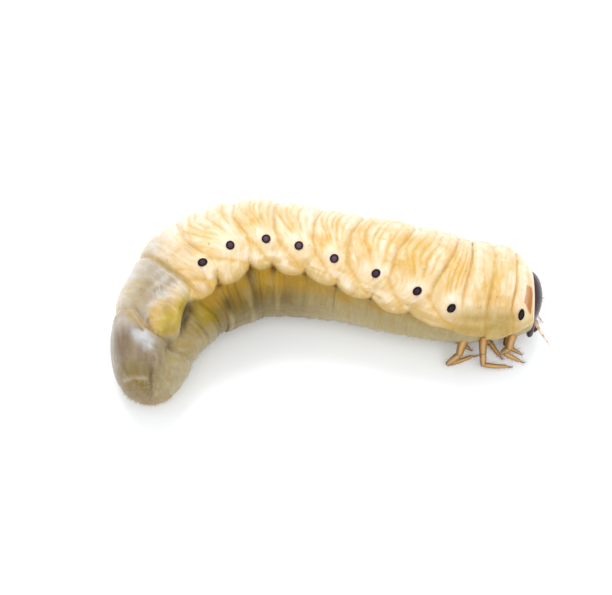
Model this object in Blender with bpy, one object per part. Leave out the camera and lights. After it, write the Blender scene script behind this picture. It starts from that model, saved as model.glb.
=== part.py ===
"""Cockchafer grub: a still, life-size model of the full-grown larva, lying on its left side.

Metres, +Z up. The head points to +X, the back to +Y, and the belly's hollow to -Y. The origin is
on the floor under the middle of the grub. Each ring of the body, the head, each mouthpart, each
feeler and each leg is an object of its own, with a narrow gap to what it grows from.

A place on the body is a ring count t along the spine, where 2.5 is the middle of the third ring,
and an angle in degrees round it, from 0 in the middle of the back to 180 in the middle of the
belly on the right side, and on to 360 on the left. Lengths are in mm until the last step.

Run with: blender --background --python part.py
"""

import math
from collections import namedtuple

import bmesh
import bpy
from mathutils import Matrix, Vector

METRES_PER_MM = 0.001
GAP = 0.3  # between one piece and the next
MIDDLE = Vector((0.368, -0.742, 0.0))  # the middle of the whole grub's box, which becomes the origin

# One row for each ring of the body, from the neck to the tail. The values hold at the ring's front
# edge: the spine's place there, the roll of the back upwards in degrees, the half sizes towards
# the back, the belly and the side, and the clearance under it. The edge leans tailwards on its way
# from the back to the belly's lip, by lean as a share of the ring. Folds cross the back.
Ring = namedtuple("Ring", "name x y roll back belly side lift lean folds crease")
RINGS = (
    Ring("prothorax", 18.3, -0.33, 49, 2.65, 2.6, 2.75, 1.5, 0.0, 1, 0.1),
    Ring("mesothorax", 16.66, -0.33, 49, 3.85, 3.8, 3.85, 1.1, 0.1, 2, 0.3),
    Ring("metathorax", 14.25, -0.06, 49, 4.35, 4.3, 4.3, 0.75, 0.4, 2, 0.34),
    Ring("abdomen_1", 12.34, 0.0, 47, 4.65, 4.6, 4.55, 0.45, 0.4, 3, 0.4),
    Ring("abdomen_2", 9.63, 0.58, 40, 4.9, 4.85, 4.75, 0.15, 0.85, 3, 0.4),
    Ring("abdomen_3", 5.85, 1.5, 30, 5.05, 5.0, 4.9, -0.1, 0.6, 3, 0.4),
    Ring("abdomen_4", 2.0, 2.35, 21, 4.95, 4.9, 4.85, -0.16, 0.34, 3, 0.4),
    Ring("abdomen_5", -1.1, 2.88, 13, 5.0, 5.0, 4.9, -0.16, 0.26, 3, 0.4),
    Ring("abdomen_6", -4.43, 3.2, 8, 5.2, 5.2, 5.05, -0.16, 0.12, 3, 0.4),
    Ring("abdomen_7", -7.15, 3.0, 7, 5.45, 5.45, 5.2, -0.16, 0.2, 2, 0.4),
    Ring("abdomen_8", -10.85, 1.35, 12, 5.65, 5.4, 5.25, -0.16, 0.0, 1, 0.4),
    Ring("abdomen_9", -12.95, -0.55, 15, 5.15, 4.9, 4.8, -0.16, 0.1, 1, 0.5),
    Ring("tail", -15.1, -4.55, 16, 3.9, 3.9, 3.95, -0.1, 0.35, 1, 0.45),
    Ring("tail_end", -15.5, -10.1, 16, 3.8, 3.8, 3.8, 0.0, 0.0, 1, 0.0),
)
COUNT = len(RINGS) - 1
GREY_RINGS = ("abdomen_9", "tail")

# The cross-section and its relief.
FULLNESS = 2.25  # 2 is an ellipse, more is squarer
LEAN_FROM, LIP_ANGLE = 40.0, 118.0
LOBE_ANGLE, LOBE_SPREAD, LOBE_HEIGHT = 108.0, 12.0, 0.5
LIP_SPREAD, BELLY_SINK, BELLY_ANGLE = 8.0, 0.5, 158.0
FOLD_DEPTH, FOLD_FULL, FOLD_GONE = 0.26, 45.0, 78.0
FOLD_EDGES = {1: (0, 1), 2: (0, 0.5, 1), 3: (0, 0.33, 0.67, 1)}
FOLD_MEET = 0.3  # the share of the ring that the folds' edges run towards, above the spiracle

# The spiracles: raised oval plates, one each side on the prothorax and on the first eight rings of
# the abdomen. The share is the place along the ring.
SPIRACLE_ANGLE, SPIRACLE_SHARE = 88.0, 0.26
SPIRACLE_SHARES = {
    "prothorax": 0.68, "abdomen_2": 0.23, "abdomen_3": 0.23, "abdomen_7": 0.38, "abdomen_8": 0.2
}
SPIRACLE_HALF_LONG, SPIRACLE_HALF_HIGH, SPIRACLE_RAISED, SPIRACLE_ROOT = 0.4, 0.46, 0.14, 0.6
SPIRACLE_RINGS = ("prothorax", *(f"abdomen_{number}" for number in range(1, 9)))

# The head is an egg sunk into the prothorax, tipped so that the mouth turns under the body. A
# place on it is (right, forwards, up) in the head's own directions.
HEAD_HALF = Vector((2.65, 1.5, 2.55))
HEAD_BEHIND = 0.45  # its depth behind the middle
HEAD_SUNK = 0.55
HEAD_TIP = 5.0  # degrees

# Mouthparts and feelers: a root on the head, the points they curve through and their half widths.
Horn = namedtuple("Horn", "name root points widths paired")
HORNS = (
    Horn("labrum", (0.0, 0.62, -0.95), ((0, 1.75, -2.9), (0, 1.65, -3.4)), (0.6, 0.5, 0.28), False),
    Horn("mandible", (1.15, 0.5, -1.0), ((1.25, 0.9, -2.95), (0.55, 1.0, -3.5)), (0.46, 0.38, 0.12), True),
    Horn("maxilla", (0.45, 0.5, -1.0), ((0.5, 0.72, -2.9), (0.5, 0.65, -3.45)), (0.28, 0.26, 0.12), True),
    Horn("antenna", (1.8, 0.9, -0.8), ((2.35, 1.5, -1.9), (2.2, 2.1, -3.0)), (0.27, 0.22, 0.1), True),
)

# The legs: where each grows from the body, and its knee, foot and claw tip.
Leg = namedtuple("Leg", "name t angle knee foot tip")
LEGS = (
    Leg("foreleg_right", 0.9, 153, (15.9, -4.45, 1.5), (17.4, -4.9, 0.6), (17.95, -5.0, 0.35)),
    Leg("midleg_right", 1.8, 153, (14.1, -5.5, 1.1), (16.2, -5.45, 0.55), (16.9, -5.4, 0.3)),
    Leg("hindleg_right", 2.7, 152, (10.95, -5.35, 0.9), (13.1, -4.55, 0.7), (13.9, -4.3, 0.45)),
    Leg("foreleg_left", 0.9, 196, (16.3, -3.4, 0.75), (17.4, -4.1, 0.6), (17.8, -4.3, 0.45)),
    Leg("midleg_left", 1.8, 192, (14.9, -3.2, 0.65), (15.7, -4.4, 0.6), (16.0, -4.75, 0.4)),
    Leg("hindleg_left", 2.7, 188, (12.0, -2.9, 0.6), (12.9, -3.7, 0.6), (13.3, -3.9, 0.4)),
)
COXA_LONG = 0.6
LEG_WIDTHS = (0.42, 0.4, 0.33, 0.27, 0.09)  # half widths from the root to the claw's tip

# The faceted solids.
AROUND = 32
STEPS_PER_FOLD = {1: 7, 2: 4, 3: 3}
LIMB_AROUND = 8
HORN_STEPS = 5
PLATE_AROUND = 10

COLOURS = {
    "cream": ((0.86, 0.72, 0.46), 0.45),
    "grey": ((0.42, 0.36, 0.27), 0.4),
    "amber": ((0.52, 0.26, 0.05), 0.35),
    "horn": ((0.02, 0.012, 0.014), 0.22),
}


def clear_scene():
    for obj in list(bpy.data.objects):
        bpy.data.objects.remove(obj, do_unlink=True)


def material(name):
    """One Principled finish for each colour of the grub."""
    colour, roughness = COLOURS[name]
    made = bpy.data.materials.get(name) or bpy.data.materials.new(name)
    made.use_nodes = True
    shader = made.node_tree.nodes["Principled BSDF"]
    shader.inputs["Base Color"].default_value = (*colour, 1.0)
    shader.inputs["Roughness"].default_value = roughness
    shader.inputs["Metallic"].default_value = 0.0
    return made


def smooth_step(low, high, value):
    share = min(1.0, max(0.0, (value - low) / (high - low)))
    return share * share * (3 - 2 * share)


def bell(value, middle, spread):
    return math.exp(-(((value - middle) / spread) ** 2))


def pillow(share, squareness):
    """0 at a fold's edges and 1 in its middle."""
    return math.sqrt(max(0.0, 1 - abs(2 * share - 1) ** squareness))


def at(t, field):
    """A column of the table at ring count t, on a smooth curve through the rings' front edges."""
    index = min(max(int(math.floor(t)), 0), COUNT - 1)
    share = t - index
    before, start, end, after = (
        getattr(RINGS[min(max(index + step, 0), COUNT)], field) for step in (-1, 0, 1, 2)
    )
    slope_in = (end - before) / 2
    slope_out = (after - start) / 2
    square, cube = share**2, share**3
    return (
        (2 * cube - 3 * square + 1) * start
        + (cube - 2 * square + share) * slope_in
        + (3 * square - 2 * cube) * end
        + (cube - square) * slope_out
    )


def spine(t):
    """The spine's point at ring count t, and the directions back, right side and tailwards."""
    step = 0.01
    tailwards = Vector(
        (at(t + step, "x") - at(t - step, "x"), at(t + step, "y") - at(t - step, "y"), 0)
    ).normalized()
    up = Vector((0, 0, 1))
    outwards = tailwards.cross(up)
    roll = math.radians(at(t, "roll"))
    back = math.cos(roll) * outwards + math.sin(roll) * up
    right = math.cos(roll) * up - math.sin(roll) * outwards
    reach = math.hypot(at(t, "side") * math.cos(roll), at(t, "belly") * math.sin(roll))
    point = Vector((at(t, "x"), at(t, "y"), reach + at(t, "lift")))
    return point, back, right, tailwards


def tail_taper(t):
    """The blunt, rounded end of the tail, as a share of the ring's size."""
    return max(0.0, 1 - max(0.0, t - COUNT + 1) ** 2) ** 0.6


def section(t, angle):
    """The plain cross-section's radius."""
    cosine, sine = abs(math.cos(math.radians(angle))), abs(math.sin(math.radians(angle)))
    half = at(t, "back" if angle < 90 or angle > 270 else "belly")
    full = (cosine / half) ** FULLNESS + (sine / at(t, "side")) ** FULLNESS
    return full ** (-1 / FULLNESS)


def leaning(t, angle):
    """The ring count on the spine beside a point of the skin, because the rings' edges lean."""
    down = smooth_step(LEAN_FROM, LIP_ANGLE, min(angle, 360 - angle)) - 0.5
    return t + at(t, "lean") * down


def skin_point(t, angle, raised=0.0):
    """A point at some height over the body's plain section, and the direction outwards there."""
    beside = leaning(t, angle)
    point, back, right, _ = spine(beside)
    turn = math.radians(angle)
    out = math.cos(turn) * back + math.sin(turn) * right
    return point + (section(beside, angle) + raised) * tail_taper(beside) * out, out


def fold_edge(ring, number, angle):
    """The share of the ring at which the back's fold of this number starts, at an angle."""
    edge = FOLD_EDGES[ring.folds][number]
    if edge in (0, 1):
        return edge
    return edge + 0.7 * (FOLD_MEET - edge) * bell(angle, FOLD_GONE, 30.0)


def relief(ring, share, fold_share, angle):
    """How far the folds and lobes raise or sink the skin. It is the same on both sides."""
    swell = pillow(share, 3.0)
    lobe = LOBE_HEIGHT * bell(angle, LOBE_ANGLE, LOBE_SPREAD) * swell
    under = smooth_step(LIP_ANGLE - LIP_SPREAD, LIP_ANGLE + LIP_SPREAD, angle)
    belly = BELLY_SINK * under * (1 - smooth_step(LIP_ANGLE, BELLY_ANGLE, angle))
    edge = ring.crease * (1 + 0.5 * bell(angle, LOBE_ANGLE, 25.0)) * (1 - pillow(share, 5.0))
    depth = FOLD_DEPTH * (ring.folds > 1) * (1 - smooth_step(FOLD_FULL, FOLD_GONE, angle))
    return lobe - belly - edge - depth * (1 - pillow(fold_share, 2.4))


def ring_point(index, level, angle):
    """A point of a ring's skin. The level runs over its folds, and 1.5 is half way in the second."""
    ring = RINGS[index]
    folded = min(angle, 360 - angle)
    number = min(int(level), ring.folds - 1)
    start, end = fold_edge(ring, number, folded), fold_edge(ring, number + 1, folded)
    share = start + (end - start) * (level - number)
    long_here = (skin_point(index + 1, angle)[0] - skin_point(index, angle)[0]).length
    trim = GAP / 2 / long_here
    t = index + trim + share * (1 - 2 * trim)
    return skin_point(t, angle, relief(ring, share, level - number, folded))[0]


def drum(steps, around):
    """An upright drum of height 1, cut into steps, with a point in the middle of each end."""
    made = bmesh.new()
    bmesh.ops.create_cone(
        made, cap_ends=True, cap_tris=True, segments=around, radius1=1, radius2=1, depth=1,
        matrix=Matrix.Translation((0, 0, 0.5)),
    )
    for step in range(1, steps):
        bmesh.ops.bisect_plane(
            made, geom=[*made.verts, *made.edges, *made.faces],
            plane_co=(0, 0, step / steps), plane_no=(0, 0, 1),
        )
    return made


def object_from(made, name, colour, collection):
    """A named object from a bmesh, its faces turned outwards."""
    bmesh.ops.recalc_face_normals(made, faces=made.faces)
    if made.calc_volume(signed=True) < 0:
        bmesh.ops.reverse_faces(made, faces=made.faces)
    mesh = bpy.data.meshes.new(name)
    made.to_mesh(mesh)
    made.free()
    mesh.materials.append(material(colour))
    obj = bpy.data.objects.new(name, mesh)
    collection.objects.link(obj)
    return obj


def keep_largest(made):
    """Removes all but the closed surface with the most faces."""
    left = set(made.faces)
    surfaces = []
    while left:
        surface, edge = set(), {left.pop()}
        while edge:
            surface |= edge
            edge = {near for face in edge for side in face.edges for near in side.link_faces}
            edge -= surface
        left -= surface
        surfaces.append(surface)
    surfaces.sort(key=len)
    for surface in surfaces[:-1]:
        bmesh.ops.delete(made, geom=list(surface), context="FACES")


def fuse(obj, pieces, operation="UNION"):
    """Joins or cuts the object with its pieces in one Boolean, and removes the pieces."""
    cutters = bpy.data.collections.new(f"{obj.name}_pieces")
    bpy.context.scene.collection.children.link(cutters)
    for piece in pieces:
        for home in list(piece.users_collection):
            home.objects.unlink(piece)
        cutters.objects.link(piece)
        piece.hide_render = True
        piece.display_type = "WIRE"
    joint = obj.modifiers.new("join", "BOOLEAN")
    joint.operation = operation
    joint.operand_type = "COLLECTION"
    joint.collection = cutters
    joint.solver = "EXACT"
    graph = bpy.context.evaluated_depsgraph_get()
    graph.update()
    made = bmesh.new()
    made.from_mesh(obj.evaluated_get(graph).data)
    obj.modifiers.remove(joint)
    for piece in pieces:
        bpy.data.objects.remove(piece, do_unlink=True)
    bpy.data.collections.remove(cutters)
    bmesh.ops.triangulate(made, faces=made.faces)
    keep_largest(made)
    made.to_mesh(obj.data)
    made.free()


def spiracle_sides(index):
    """Right, and left where the left plate isn't pressed flat between the skin and the floor."""
    left_skin = ring_point(index, SPIRACLE_SHARE * RINGS[index].folds, 360 - SPIRACLE_ANGLE)
    return (1, -1) if left_skin.z > 2 * SPIRACLE_RAISED + SPIRACLE_HALF_HIGH else (1,)


def spiracle(index, side, collection):
    """One plate, a short drum on the skin with its root sunk in."""
    ring = RINGS[index]
    share = SPIRACLE_SHARES.get(ring.name, SPIRACLE_SHARE)
    level = share * ring.folds
    angle = SPIRACLE_ANGLE if side > 0 else 360 - SPIRACLE_ANGLE
    centre = ring_point(index, level, angle)
    _, out = skin_point(index + share, angle)
    tailwards = spine(leaning(index + share, angle))[3]
    upwards = out.cross(tailwards)
    plate = drum(1, PLATE_AROUND)
    for vert in plate.verts:
        height = SPIRACLE_RAISED if vert.co.z > 0.5 else -SPIRACLE_ROOT
        vert.co = (
            centre
            + vert.co.x * SPIRACLE_HALF_LONG * tailwards
            + vert.co.y * SPIRACLE_HALF_HIGH * upwards
            + height * out
        )
    return object_from(plate, f"{ring.name}_plate_{side}", "horn", collection)


def body_ring(index, collection):
    """One ring: a drum each of whose points is carried to the skin."""
    ring = RINGS[index]
    steps = STEPS_PER_FOLD[ring.folds]
    last = index == COUNT - 1
    made = drum(steps * ring.folds, AROUND)
    for vert in made.verts:
        level = vert.co.z * ring.folds
        if last:
            level = math.sin(level * math.pi / 2 * 0.9)
        if vert.co.xy.length < 0.5:
            around = [ring_point(index, level, angle) for angle in range(0, 360, 45)]
            vert.co = sum(around, Vector()) / len(around)
        else:
            vert.co = ring_point(index, level, math.degrees(math.atan2(vert.co.y, vert.co.x)) % 360)
    for vert in made.verts:
        vert.co.z = max(vert.co.z, 0.0)
    colour = "grey" if ring.name in GREY_RINGS else "cream"
    obj = object_from(made, ring.name, colour, collection)
    if ring.name in SPIRACLE_RINGS:
        fuse(obj, [spiracle(index, side, collection) for side in spiracle_sides(index)])
    return obj


def head_frame():
    """The head's middle and its directions right, forwards and up, as a matrix."""
    neck, back, right, tailwards = spine(0)
    tip = math.radians(HEAD_TIP)
    forwards = -math.cos(tip) * tailwards - math.sin(tip) * back
    up = math.cos(tip) * back - math.sin(tip) * tailwards
    middle = neck + HEAD_SUNK * tailwards
    frame = Matrix((right, forwards, up)).transposed().to_4x4()
    return Matrix.Translation(middle) @ frame


def head_egg(grown, name, collection):
    """The head's egg, or one grown all round."""
    frame = head_frame()
    made = bmesh.new()
    bmesh.ops.create_uvsphere(made, u_segments=24, v_segments=14, radius=1)
    for vert in made.verts:
        depth = HEAD_HALF.y if vert.co.y > 0 else HEAD_BEHIND
        half = (HEAD_HALF.x + grown, depth + grown, HEAD_HALF.z + grown)
        vert.co = frame @ Vector(vert.co[i] * half[i] for i in range(3))
    return object_from(made, name, "horn", collection)


def on_curve(points, share):
    """A point of the smooth curve from the second point on, and the direction along it."""
    place = share * (len(points) - 2)
    index = min(int(place), len(points) - 3) + 1
    part = place - index + 1
    before, start, end = points[index - 1 : index + 2]
    after = points[index + 2] if index + 2 < len(points) else 2 * end - start
    slope_in, slope_out = (end - before) / 2, (after - start) / 2
    square, cube = part**2, part**3
    point = (
        (2 * cube - 3 * square + 1) * start
        + (cube - 2 * square + part) * slope_in
        + (3 * square - 2 * cube) * end
        + (cube - square) * slope_out
    )
    along = (
        (6 * square - 6 * part) * (start - end)
        + (3 * square - 4 * part + 1) * slope_in
        + (3 * square - 2 * part) * slope_out
    )
    return point, along.normalized()


def horn(kind, side, collection):
    """A curved, tapering mouthpart or feeler, whose root faces the head across the gap."""
    root = Vector(kind.root)
    on_head = root / Vector(root[i] / HEAD_HALF[i] for i in range(3)).length
    outwards = Vector(on_head[i] / HEAD_HALF[i] ** 2 for i in range(3)).normalized()
    points = [on_head - outwards, on_head + GAP * outwards, *map(Vector, kind.points)]
    frame = head_frame()
    made = drum(HORN_STEPS, LIMB_AROUND)
    for vert in made.verts:
        share = vert.co.z
        point, along = on_curve(points, share)
        along = outwards if share < 0.01 else along
        across = along.cross(Vector((0, 1, 0))).normalized()
        other = across.cross(along)
        place = share * (len(kind.widths) - 1)
        index = min(int(place), len(kind.widths) - 2)
        width = kind.widths[index] + (kind.widths[index + 1] - kind.widths[index]) * (place - index)
        local = point + width * (vert.co.x * across + vert.co.y * other)
        local.x *= side
        vert.co = frame @ local
    name = f"{kind.name}_{'right' if side > 0 else 'left'}" if kind.paired else kind.name
    colour = "amber" if kind.name in ("antenna", "maxilla") else "horn"
    return object_from(made, name, colour, collection)


def bone(start, end, start_width, end_width, name, collection):
    """A straight length of leg with rounded ends."""
    along = (end - start).normalized()
    across = along.orthogonal().normalized()
    other = along.cross(across)
    long = (end - start).length
    stops = (
        (-0.7 * start_width, 0.6 * start_width),
        (0, start_width),
        (long / 2, 0.52 * (start_width + end_width)),
        (long, end_width),
        (long + 0.7 * end_width, 0.6 * end_width),
    )
    made = drum(len(stops) - 1, LIMB_AROUND)
    for vert in made.verts:
        height, width = stops[round(vert.co.z * (len(stops) - 1))]
        vert.co = start + height * along + width * (vert.co.x * across + vert.co.y * other)
    return object_from(made, name, "amber", collection)


def leg(kind, collection):
    """Coxa, femur, shin with foot, and claw, fused into one."""
    skin, out = skin_point(kind.t, kind.angle)
    root = skin + (GAP + LEG_WIDTHS[0]) * out
    knee, foot, tip = map(Vector, (kind.knee, kind.foot, kind.tip))
    joints = [root, root + COXA_LONG * (knee - root).normalized(), knee, foot, tip]
    bones = [
        bone(joints[i], joints[i + 1], LEG_WIDTHS[i], LEG_WIDTHS[i + 1], f"{kind.name}_{i}", collection)
        for i in range(len(joints) - 1)
    ]
    bones[0].name = kind.name
    fuse(bones[0], bones[1:])


def to_metres(collection):
    """Puts the origin under the grub's middle, and turns mm into metres."""
    for obj in collection.objects:
        obj.data.transform(Matrix.Scale(METRES_PER_MM, 4) @ Matrix.Translation(-MIDDLE))
        obj.data.update()


def main():
    clear_scene()
    grub = bpy.data.collections.new("cockchafer_grub")
    bpy.context.scene.collection.children.link(grub)
    for index in range(COUNT):
        obj = body_ring(index, grub)
        if index == 0:
            fuse(obj, [head_egg(GAP, "head_socket", grub)], "DIFFERENCE")
    head_egg(0, "head", grub)
    for kind in HORNS:
        for side in (1, -1) if kind.paired else (1,):
            horn(kind, side, grub)
    for kind in LEGS:
        leg(kind, grub)
    to_metres(grub)


main()
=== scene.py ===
import math

import bpy
import numpy as np
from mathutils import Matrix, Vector


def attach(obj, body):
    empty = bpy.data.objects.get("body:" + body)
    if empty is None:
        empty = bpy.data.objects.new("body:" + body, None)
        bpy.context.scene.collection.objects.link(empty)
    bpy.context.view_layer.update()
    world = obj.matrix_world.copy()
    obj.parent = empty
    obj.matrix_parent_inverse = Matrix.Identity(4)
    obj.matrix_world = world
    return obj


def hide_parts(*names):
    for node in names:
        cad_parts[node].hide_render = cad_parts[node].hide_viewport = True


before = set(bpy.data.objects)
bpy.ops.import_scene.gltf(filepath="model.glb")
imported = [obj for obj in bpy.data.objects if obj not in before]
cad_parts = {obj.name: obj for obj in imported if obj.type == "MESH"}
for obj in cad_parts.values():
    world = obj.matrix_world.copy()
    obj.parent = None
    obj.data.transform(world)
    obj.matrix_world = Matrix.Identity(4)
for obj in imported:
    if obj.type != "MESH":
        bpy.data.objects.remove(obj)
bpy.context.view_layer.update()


# The skin: one thin, moist, translucent bag from the neck to the tail, folded across the back into
# small rolls on each ring, bulging in a row of lobes along the flank and hanging over the belly
# there. It is one tube, laid round the curled spine, in place of all the rings of the solids.
MM = 0.001
MIDDLE = np.array((0.368, -0.742, 0.0))  # the middle of the grub's box in mm, where the origin is
# For each ring's front edge: the spine's x and y, the roll upwards, the half sizes to the back, the
# belly and the side, the clearance under it, and how far the edge leans tailwards down the flank.
RINGS = np.array((
    (18.3, -0.33, 49, 2.65, 2.6, 2.75, 1.5, 0.0),
    (16.66, -0.33, 49, 3.85, 3.8, 3.85, 1.1, 0.1),
    (14.25, -0.06, 49, 4.35, 4.3, 4.3, 0.75, 0.4),
    (12.34, 0.0, 47, 4.65, 4.6, 4.55, 0.45, 0.4),
    (9.63, 0.58, 40, 4.9, 4.85, 4.75, 0.15, 0.85),
    (5.85, 1.5, 30, 5.05, 5.0, 4.9, -0.1, 0.6),
    (2.0, 2.35, 21, 4.95, 4.9, 4.85, -0.16, 0.34),
    (-1.1, 2.88, 13, 5.0, 5.0, 4.9, -0.16, 0.26),
    (-4.43, 3.2, 8, 5.2, 5.2, 5.05, -0.16, 0.12),
    (-7.15, 3.0, 7, 5.45, 5.45, 5.2, -0.16, 0.2),
    (-10.85, 1.35, 12, 5.65, 5.4, 5.25, -0.16, 0.0),
    (-12.95, -0.55, 15, 5.15, 4.9, 4.8, -0.16, 0.1),
    (-15.1, -4.55, 16, 3.9, 3.9, 3.95, -0.1, 0.35),
    (-15.5, -10.1, 16, 3.8, 3.8, 3.8, 0.0, 0.0),
), float)
X, Y, ROLL, BACK, BELLY, SIDE, LIFT, LEAN = range(8)
TAIL_END = len(RINGS) - 1
CREASES = np.array((0.1, 0.3, 0.34, 0.4, 0.4, 0.4, 0.4, 0.4, 0.4, 0.4, 0.4, 0.5, 0.45, 0.0))
RING_LENGTHS = (0, 2, 2.4, 2.1, 2.9, 3.9, 3.9, 3.2, 3.4, 3.0, 4.1, 3.1, 5.0, 5.6)
FULLNESS = 2.25  # 2 would be an oval section
UP = np.array((0.0, 0.0, 1.0))
PRESSED = 0.1  # mm over which the skin rounds off on to the floor
NECK_RADIUS, COLLAR = 2.42, 0.3  # mm, and the ring count at which the collar is full


def ramp(low, high, value):
    """Rises softly from 0 at low to 1 at high, or falls from 1 to 0 if high is the smaller."""
    share = np.clip((value - low) / (high - low), 0, 1)
    return share * share * (3 - 2 * share)


def bell(value, middle, spread):
    return np.exp(-(((value - middle) / spread) ** 2))


def unit(rows):
    """Directions, drawn to a length of 1."""
    return rows / np.linalg.norm(rows, axis=-1, keepdims=True)


def smooth_curve(before, start, end, after, share):
    """Places between start and end on a smooth curve through four points."""
    square, cube = share**2, share**3
    return (
        (2 * cube - 3 * square + 1) * start + (cube - 2 * square + share) * (end - before) / 2
        + (3 * square - 2 * cube) * end + (cube - square) * (after - start) / 2
    )


def at(t, column):
    """A column of the ring table at ring count t, on a smooth curve through the rings' edges."""
    values = RINGS[:, column]
    index = np.clip(np.floor(t).astype(int), 0, TAIL_END - 1)
    places = (index - 1, index, index + 1, index + 2)
    return smooth_curve(*(values[np.clip(place, 0, TAIL_END)] for place in places), t - index)


def spine(t):
    """Points of the spine, and the directions to the back, to the right side and to the tail."""
    heading = unit(np.stack([at(t + 0.01, axis) - at(t - 0.01, axis) for axis in (X, Y)], -1))
    none = np.zeros_like(t)
    tailwards = np.stack((heading[..., 0], heading[..., 1], none), -1)
    outwards = np.stack((heading[..., 1], -heading[..., 0], none), -1)
    roll = np.radians(at(t, ROLL))[..., None]
    back = np.cos(roll) * outwards + np.sin(roll) * UP
    right = np.cos(roll) * UP - np.sin(roll) * outwards
    reach = np.hypot(at(t, SIDE) * np.cos(roll[..., 0]), at(t, BELLY) * np.sin(roll[..., 0]))
    return np.stack((at(t, X), at(t, Y), reach + at(t, LIFT)), -1), back, right, tailwards


def skin_at(t, angle, raised=0.0):
    """Points at some height over the body's plain section in mm, and the directions outwards.

    The angle is 0 along the back, 90 along the right side and 180 along the belly.
    """
    t, angle = np.asarray(t, float), np.asarray(angle, float)
    folded = np.minimum(angle, 360 - angle)
    beside = t + at(t, LEAN) * (ramp(40, 118, folded) - 0.5)
    point, back, right, _ = spine(beside)
    turn = np.radians(angle)
    cosine, sine = np.abs(np.cos(turn)), np.abs(np.sin(turn))
    half = np.where(folded < 90, at(beside, BACK), at(beside, BELLY))
    radius = ((cosine / half) ** FULLNESS + (sine / at(beside, SIDE)) ** FULLNESS) ** (-1 / FULLNESS)
    neck = np.clip(t / COLLAR, 0, 1)
    rolled_in = np.sqrt(1 - (1 - neck) ** 2)
    radius = np.where(t < COLLAR, NECK_RADIUS + (radius - NECK_RADIUS) * rolled_in, radius)
    taper = np.clip(1 - np.clip(beside - TAIL_END + 1, 0, None) ** 2, 0, None) ** 0.6
    out = np.cos(turn)[..., None] * back + np.sin(turn)[..., None] * right
    point = point + ((radius + raised) * taper)[..., None] * out
    return point - MIDDLE, out


def pressed(points):
    """Rounds points off on to the floor."""
    points = points.copy()
    height = points[..., 2]
    points[..., 2] = (height + np.sqrt(height**2 + PRESSED**2)) / 2
    return points


def cloud(along, turn, turns, seed):
    """Soft noise from 0 to 1 that closes on itself round the body."""
    lattice = np.random.default_rng(seed).random((256, turns))
    across = turn * turns
    column, row = np.floor(along).astype(int), np.floor(across).astype(int)
    east, north = along - column, across - row
    east, north = east**2 * (3 - 2 * east), north**2 * (3 - 2 * north)
    corner = [lattice[(column + i) % 256, (row + j) % turns] for i in (0, 1) for j in (0, 1)]
    near, far = (corner[k] * (1 - north) + corner[k + 1] * north for k in (0, 2))
    return near * (1 - east) + far * east


def ridges(along, turn, turns, seed):
    """Noise with sharp crests, for creases."""
    return 1 - np.abs(2 * cloud(along, turn, turns, seed) - 1)


SPIRACLE_PLACES = (  # the ring count and angle of each, from the neck
    (0.82, 91), (3.26, 90), (4.2, 87), (5.2, 87.5), (6.27, 89.5),
    (7.32, 89.5), (8.27, 89.5), (9.37, 88.5), (10.15, 88),
)
# Where the flank's lip hangs over the belly: ring counts and angles. Between the two rows it is a
# lobe on each ring.
LIP_FRONT = (
    (0.4, 0.7, 1.0, 1.4, 1.7, 2.0, 2.35, 2.7, 3.0, 3.2, 3.5, 3.97),
    (114, 117, 124, 136, 134, 128, 122, 121, 117.5, 116, 119, 113.5),
)
LIP_REAR = (
    (10.0, 10.3, 10.7, 11.0, 11.12, 11.27, 11.5, 11.8, 11.98, 12.08, 12.15, 12.4),
    (111, 114.5, 114.5, 112, 104, 99.5, 103, 109.5, 108, 101, 96, 98),
)
FRONT_LOBE, REAR_LOBE, LOBE_ANGLE = 3.97, 10.0, 113.5
# Each ring's creases across the back: how far along the ring each starts, its depth in mm, and the
# angle at which it ends. They bow tailwards, then close in on the spiracle.
ROLL_CREASES = ((0.2, 0.11, 74), (0.42, 0.19, 78), (0.58, 0.11, 68), (0.72, 0.16, 82), (0.88, 0.11, 84))
BOW, BOW_ANGLE, BOW_SPREAD = 0.15, 52, 22
CLOSING_IN, CLOSE_ON = 0.55, 0.15
CREASE_WIDE, CREASE_SHARP = 0.32, 0.1  # mm


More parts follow.
